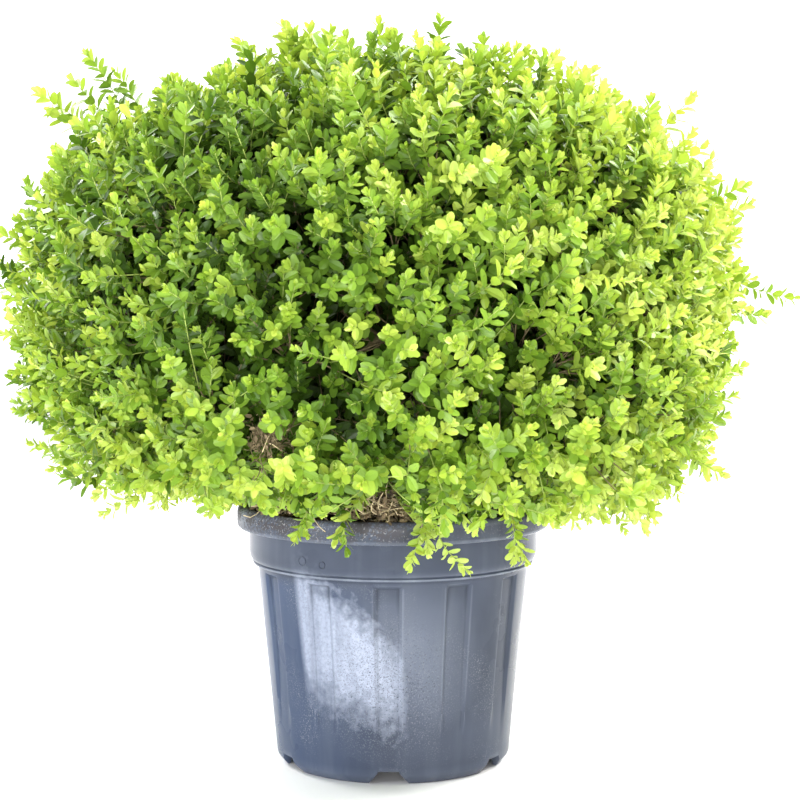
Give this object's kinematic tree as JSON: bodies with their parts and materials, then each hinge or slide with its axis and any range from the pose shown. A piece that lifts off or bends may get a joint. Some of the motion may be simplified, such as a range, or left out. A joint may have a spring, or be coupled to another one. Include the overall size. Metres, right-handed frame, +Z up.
{
  "type": "clipped box shrub in a nursery pot",
  "caption": "Evergreen shrub clipped to a leafy ball, wider than tall, on a short stem in the dark fluted nursery pot that it grew in.",
  "frame": {"origin": "on the ground, on the axis of the pot, which is also the middle of the crown's full width and depth", "axes": "+Z up along the pot's axis. -Y is the front that the picture shows, and +X is to its right. The crown is widest along X"},
  "size_m": [0.776, 0.756, 0.719],
  "materials": {
    "pot_plastic": "satin",
    "compost": "matte",
    "bark": "matte",
    "foliage": "satin"
  },
  "bodies": {
    "root": {"pot": "pot_plastic", "compost": "compost", "main_stem": "bark", "bough_cap": "bark", "bough_side_1": "bark", "bough_side_2": "bark", "bough_side_3": "bark", "bough_side_4": "bark", "bough_side_5": "bark", "bough_side_6": "bark", "bough_side_7": "bark", "foliage_cap": "foliage", "foliage_side_1": "foliage", "foliage_side_2": "foliage", "foliage_side_3": "foliage", "foliage_side_4": "foliage", "foliage_side_5": "foliage", "foliage_side_6": "foliage", "foliage_side_7": "foliage"}
  },
  "joints": []
}
